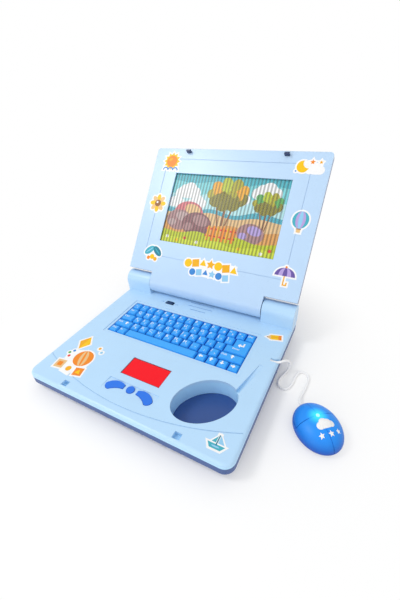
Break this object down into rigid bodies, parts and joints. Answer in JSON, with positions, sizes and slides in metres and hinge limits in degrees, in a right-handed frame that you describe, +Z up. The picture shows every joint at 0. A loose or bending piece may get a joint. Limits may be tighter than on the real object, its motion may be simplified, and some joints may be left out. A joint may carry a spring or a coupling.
{
  "type": "toy laptop computer",
  "caption": "Toy laptop with a hinged lid, ribbed picture screen, press keys, red display window, front buttons and a corded mouse that stows in a well.",
  "frame": {"origin": "the middle of the base's flat underside, on the surface that the toy stands on", "axes": "+X to the user's right, +Y from the user to the hinge, +Z up from the table"},
  "size_m": [0.3658, 0.3567, 0.2243],
  "materials": {
    "light_blue_casing": "smooth moulded light blue plastic, soft sheen",
    "navy_casing": "smooth moulded navy plastic",
    "steel": "plain bright steel",
    "cell_jacket": "plain grey jacket",
    "contact_plating": "nickel plated spring plate",
    "circuit_board": "green board",
    "speaker_metal": "dark pressed metal",
    "red_window": "clear red tinted plastic",
    "display_panel": "grey display panel",
    "mid_blue_buttons": "smooth mid blue plastic",
    "grey_rubber": "moulded silicone rubber",
    "key_tray_blue": "smooth bright blue plastic",
    "key_blue": "smooth bright blue plastic with white legends",
    "dark_blue_switch": "plain dark blue plastic",
    "black_plastic": "plain black plastic",
    "white_rubber": "soft white cable sheath",
    "printed_card": "printed card",
    "ribbed_clear_sheet": "clear sheet with fine upright ribs",
    "navy_hooks": "smooth navy plastic",
    "mouse_blue": "smooth bright blue plastic with a white print",
    "mouse_dark_blue": "smooth darker blue plastic",
    "clear_light_guide": "clear plastic with a pale blue glow"
  },
  "bodies": {
    "base": {"base_top_cover": "light_blue_casing", "base_bottom_cover": "navy_casing", "battery_door": "navy_casing", "battery_door_screw": "steel", "batteries": "cell_jacket", "battery_contacts": "contact_plating", "main_circuit_board": "circuit_board", "speaker": "speaker_metal", "display_window": "red_window", "display_module": "display_panel", "button_membrane": "grey_rubber", "keyboard_tray": "key_tray_blue", "keyboard_dome_sheet": "grey_rubber", "keyboard_contact_board": "circuit_board", "power_switch_body": "black_plastic", "hinge_pin_left": "steel", "hinge_pin_right": "steel", "base_screws": "steel", "cord_grommet": "white_rubber", "mouse_cord": "white_rubber"},
    "lid": {"lid_front_cover": "light_blue_casing", "lid_back_cover": "navy_casing", "picture_card": "printed_card", "lenticular_sheet": "ribbed_clear_sheet", "latch_hooks": "navy_hooks", "lid_screws": "steel"},
    "mouse": {"mouse_upper_shell": "mouse_blue", "mouse_lower_shell": "mouse_dark_blue", "mouse_light_guide": "clear_light_guide", "mouse_circuit_board": "circuit_board", "mouse_strain_relief": "white_rubber", "mouse_screw": "steel"},
    "mouse_left_button": {"mouse_left_button": "mouse_blue"},
    "mouse_right_button": {"mouse_right_button": "mouse_blue"},
    "power_switch": {"power_switch_knob": "dark_blue_switch"},
    "number_keys_left": {"number_keys_left": "key_blue"},
    "number_keys_right": {"number_keys_right": "key_blue"},
    "backspace_key": {"backspace_key": "key_blue"},
    "tab_key": {"tab_key": "key_blue"},
    "upper_letter_keys_left": {"upper_letter_keys_left": "key_blue"},
    "upper_letter_keys_right": {"upper_letter_keys_right": "key_blue"},
    "enter_key": {"enter_key": "key_blue"},
    "caps_key": {"caps_key": "key_blue"},
    "middle_letter_keys_left": {"middle_letter_keys_left": "key_blue"},
    "middle_letter_keys_right": {"middle_letter_keys_right": "key_blue"},
    "left_shift_key": {"left_shift_key": "key_blue"},
    "lower_letter_keys_left": {"lower_letter_keys_left": "key_blue"},
    "lower_letter_keys_right": {"lower_letter_keys_right": "key_blue"},
    "right_shift_key": {"right_shift_key": "key_blue"},
    "control_key": {"control_key": "key_blue"},
    "function_key": {"function_key": "key_blue"},
    "space_bar": {"space_bar": "key_blue"},
    "arrow_left_key": {"arrow_left_key": "key_blue"},
    "arrow_up_key": {"arrow_up_key": "key_blue"},
    "arrow_down_key": {"arrow_down_key": "key_blue"},
    "arrow_right_key": {"arrow_right_key": "key_blue"},
    "left_button": {"left_button": "mid_blue_buttons"},
    "centre_button": {"centre_button": "mid_blue_buttons"},
    "right_button": {"right_button": "mid_blue_buttons"}
  },
  "joints": [
    {"name": "lid_hinge", "type": "hinge", "parent": "base", "child": "lid", "pos_m": [0, 0.1042, 0.042], "axis": [1, 0, 0], "range_deg": [0, 128.5]},
    {"name": "power_switch_slide", "type": "slide", "parent": "base", "child": "power_switch", "axis": [1, 0, 0], "range_m": [-0.002, 0.002]},
    {"name": "mouse_slide", "type": "slide", "parent": "base", "child": "mouse", "axis": [-0.682, 0.7314, 0], "range_m": [-0.03, 0.02], "deforming": ["mouse_cord"]},
    {"name": "mouse_left_button_press", "type": "hinge", "parent": "mouse", "child": "mouse_left_button", "pos_m": [0.19684, -0.02737, 0.018], "axis": [-0.7314, -0.682, 0], "range_deg": [0, 2.2], "stiffness_Nm_per_rad": 0.25, "springref_deg": -2.29},
    {"name": "mouse_right_button_press", "type": "hinge", "parent": "mouse", "child": "mouse_right_button", "pos_m": [0.19684, -0.02737, 0.018], "axis": [-0.7314, -0.682, 0], "range_deg": [0, 2.2], "stiffness_Nm_per_rad": 0.25, "springref_deg": -2.29},
    {"name": "left_button_press", "type": "slide", "parent": "base", "child": "left_button", "axis": [0, 0, -1], "range_m": [0, 0.001], "stiffness_N_per_m": 250, "springref_m": -0.001, "deforming": ["button_membrane"]},
    {"name": "centre_button_press", "type": "slide", "parent": "base", "child": "centre_button", "axis": [0, 0, -1], "range_m": [0, 0.001], "stiffness_N_per_m": 250, "springref_m": -0.001, "deforming": ["button_membrane"]},
    {"name": "right_button_press", "type": "slide", "parent": "base", "child": "right_button", "axis": [0, 0, -1], "range_m": [0, 0.001], "stiffness_N_per_m": 250, "springref_m": -0.001, "deforming": ["button_membrane"]},
    {"name": "number_keys_left_press", "type": "slide", "parent": "base", "child": "number_keys_left", "axis": [0, 0, -1], "range_m": [0, 0.0012], "stiffness_N_per_m": 250, "springref_m": -0.001, "deforming": ["keyboard_dome_sheet"]},
    {"name": "number_keys_right_press", "type": "slide", "parent": "base", "child": "number_keys_right", "axis": [0, 0, -1], "range_m": [0, 0.0012], "stiffness_N_per_m": 250, "springref_m": -0.001, "deforming": ["keyboard_dome_sheet"]},
    {"name": "backspace_key_press", "type": "slide", "parent": "base", "child": "backspace_key", "axis": [0, 0, -1], "range_m": [0, 0.0012], "stiffness_N_per_m": 250, "springref_m": -0.001, "deforming": ["keyboard_dome_sheet"]},
    {"name": "tab_key_press", "type": "slide", "parent": "base", "child": "tab_key", "axis": [0, 0, -1], "range_m": [0, 0.0012], "stiffness_N_per_m": 250, "springref_m": -0.001, "deforming": ["keyboard_dome_sheet"]},
    {"name": "upper_letter_keys_left_press", "type": "slide", "parent": "base", "child": "upper_letter_keys_left", "axis": [0, 0, -1], "range_m": [0, 0.0012], "stiffness_N_per_m": 250, "springref_m": -0.001, "deforming": ["keyboard_dome_sheet"]},
    {"name": "upper_letter_keys_right_press", "type": "slide", "parent": "base", "child": "upper_letter_keys_right", "axis": [0, 0, -1], "range_m": [0, 0.0012], "stiffness_N_per_m": 250, "springref_m": -0.001, "deforming": ["keyboard_dome_sheet"]},
    {"name": "enter_key_press", "type": "slide", "parent": "base", "child": "enter_key", "axis": [0, 0, -1], "range_m": [0, 0.0012], "stiffness_N_per_m": 250, "springref_m": -0.001, "deforming": ["keyboard_dome_sheet"]},
    {"name": "caps_key_press", "type": "slide", "parent": "base", "child": "caps_key", "axis": [0, 0, -1], "range_m": [0, 0.0012], "stiffness_N_per_m": 250, "springref_m": -0.001, "deforming": ["keyboard_dome_sheet"]},
    {"name": "middle_letter_keys_left_press", "type": "slide", "parent": "base", "child": "middle_letter_keys_left", "axis": [0, 0, -1], "range_m": [0, 0.0012], "stiffness_N_per_m": 250, "springref_m": -0.001, "deforming": ["keyboard_dome_sheet"]},
    {"name": "middle_letter_keys_right_press", "type": "slide", "parent": "base", "child": "middle_letter_keys_right", "axis": [0, 0, -1], "range_m": [0, 0.0012], "stiffness_N_per_m": 250, "springref_m": -0.001, "deforming": ["keyboard_dome_sheet"]},
    {"name": "left_shift_key_press", "type": "slide", "parent": "base", "child": "left_shift_key", "axis": [0, 0, -1], "range_m": [0, 0.0012], "stiffness_N_per_m": 250, "springref_m": -0.001, "deforming": ["keyboard_dome_sheet"]},
    {"name": "lower_letter_keys_left_press", "type": "slide", "parent": "base", "child": "lower_letter_keys_left", "axis": [0, 0, -1], "range_m": [0, 0.0012], "stiffness_N_per_m": 250, "springref_m": -0.001, "deforming": ["keyboard_dome_sheet"]},
    {"name": "lower_letter_keys_right_press", "type": "slide", "parent": "base", "child": "lower_letter_keys_right", "axis": [0, 0, -1], "range_m": [0, 0.0012], "stiffness_N_per_m": 250, "springref_m": -0.001, "deforming": ["keyboard_dome_sheet"]},
    {"name": "right_shift_key_press", "type": "slide", "parent": "base", "child": "right_shift_key", "axis": [0, 0, -1], "range_m": [0, 0.0012], "stiffness_N_per_m": 250, "springref_m": -0.001, "deforming": ["keyboard_dome_sheet"]},
    {"name": "control_key_press", "type": "slide", "parent": "base", "child": "control_key", "axis": [0, 0, -1], "range_m": [0, 0.0012], "stiffness_N_per_m": 250, "springref_m": -0.001, "deforming": ["keyboard_dome_sheet"]},
    {"name": "function_key_press", "type": "slide", "parent": "base", "child": "function_key", "axis": [0, 0, -1], "range_m": [0, 0.0012], "stiffness_N_per_m": 250, "springref_m": -0.001, "deforming": ["keyboard_dome_sheet"]},
    {"name": "space_bar_press", "type": "slide", "parent": "base", "child": "space_bar", "axis": [0, 0, -1], "range_m": [0, 0.0012], "stiffness_N_per_m": 250, "springref_m": -0.001, "deforming": ["keyboard_dome_sheet"]},
    {"name": "arrow_left_key_press", "type": "slide", "parent": "base", "child": "arrow_left_key", "axis": [0, 0, -1], "range_m": [0, 0.0012], "stiffness_N_per_m": 250, "springref_m": -0.001, "deforming": ["keyboard_dome_sheet"]},
    {"name": "arrow_up_key_press", "type": "slide", "parent": "base", "child": "arrow_up_key", "axis": [0, 0, -1], "range_m": [0, 0.0012], "stiffness_N_per_m": 250, "springref_m": -0.001, "deforming": ["keyboard_dome_sheet"]},
    {"name": "arrow_down_key_press", "type": "slide", "parent": "base", "child": "arrow_down_key", "axis": [0, 0, -1], "range_m": [0, 0.0012], "stiffness_N_per_m": 250, "springref_m": -0.001, "deforming": ["keyboard_dome_sheet"]},
    {"name": "arrow_right_key_press", "type": "slide", "parent": "base", "child": "arrow_right_key", "axis": [0, 0, -1], "range_m": [0, 0.0012], "stiffness_N_per_m": 250, "springref_m": -0.001, "deforming": ["keyboard_dome_sheet"]}
  ]
}
